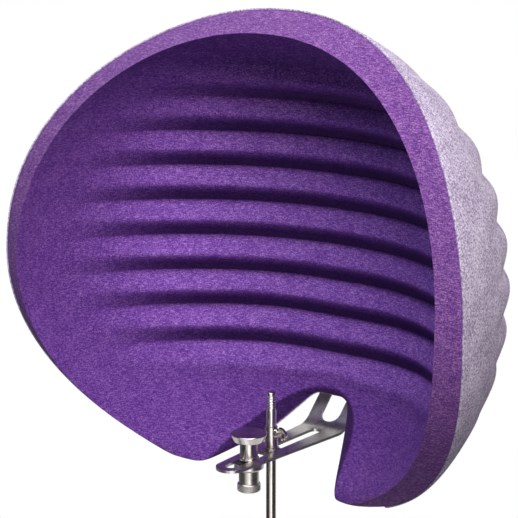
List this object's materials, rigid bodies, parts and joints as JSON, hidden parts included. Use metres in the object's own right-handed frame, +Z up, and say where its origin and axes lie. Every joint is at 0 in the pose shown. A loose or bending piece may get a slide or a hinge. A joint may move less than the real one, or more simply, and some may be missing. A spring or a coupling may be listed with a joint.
{
  "type": "microphone isolation shield",
  "caption": "Ribbed felt bowl that shields a microphone from room sound, on a slotted steel bracket with a stand clamp and a height-adjustable threaded rod.",
  "frame": {"origin": "centre of the stand socket's mouth, on the stand's axis", "axes": "+Z up along the stand, the open side of the bowl faces -Y, +X to the right seen from the open side"},
  "size_m": [0.571, 0.285, 0.5455],
  "materials": {
    "grey_felt": "matte felt",
    "purple_felt": "matte felt",
    "satin_steel": "satin",
    "bright_steel": "polished",
    "plain_steel": "plain",
    "black_rubber": "matte",
    "black_plastic": "matte",
    "brass": "plain"
  },
  "bodies": {
    "stand_mount": {"stand_adaptor": "satin_steel", "clamp_flange": "satin_steel", "grip_ring": "satin_steel", "friction_washer": "black_rubber"},
    "slide_bush": {"slot_bush": "black_plastic"},
    "shield": {"outer_shell": "grey_felt", "inner_shell": "purple_felt", "bracket": "satin_steel", "bracket_bolts": "plain_steel", "bolt_washers": "plain_steel", "bracket_spacers": "black_rubber", "insert_nuts": "brass"},
    "clamp_washer": {"knob_washer": "bright_steel"},
    "knob": {"clamp_knob": "bright_steel", "clamp_stud": "plain_steel"},
    "mic_post": {"post_sleeve": "bright_steel", "post_washer": "plain_steel", "post_nut": "plain_steel"},
    "screw_tip": {"lock_tip": "brass"},
    "wing_screw": {"lock_screw": "bright_steel"},
    "rod": {"mic_rod": "bright_steel"}
  },
  "joints": [
    {"name": "swivel", "type": "hinge", "parent": "stand_mount", "child": "slide_bush", "pos_m": [0, 0, 0.033], "axis": [0, 0, 1], "continuous": true},
    {"name": "bracket_slide", "type": "slide", "parent": "slide_bush", "child": "shield", "axis": [0, 1, 0], "range_m": [-0.006, 0.02]},
    {"name": "clamp_lift", "type": "slide", "parent": "stand_mount", "child": "clamp_washer", "axis": [0, 0, 1], "range_m": [0, 0.0038]},
    {"name": "clamp_turn", "type": "hinge", "parent": "clamp_washer", "child": "knob", "pos_m": [0, 0, 0.045], "axis": [0, 0, 1], "range_deg": [0, 1080]},
    {"name": "post_slide", "type": "slide", "parent": "shield", "child": "mic_post", "axis": [0, 1, 0], "range_m": [-0.006, 0.06]},
    {"name": "lock_press", "type": "slide", "parent": "mic_post", "child": "screw_tip", "axis": [1, 0, 0], "range_m": [0, 0.0016]},
    {"name": "lock_turn", "type": "hinge", "parent": "screw_tip", "child": "wing_screw", "pos_m": [0.012, 0.0385, 0.0535], "axis": [1, 0, 0], "range_deg": [0, 725]},
    {"name": "rod_slide", "type": "slide", "parent": "mic_post", "child": "rod", "axis": [0, 0, 1], "range_m": [-0.018, 0.06]}
  ],
  "couplings": [
    {"joint": "clamp_lift", "follows": "clamp_turn", "m_per_rad": 0.00019894},
    {"joint": "lock_turn", "follows": "lock_press", "rad_per_m": 7854}
  ]
}
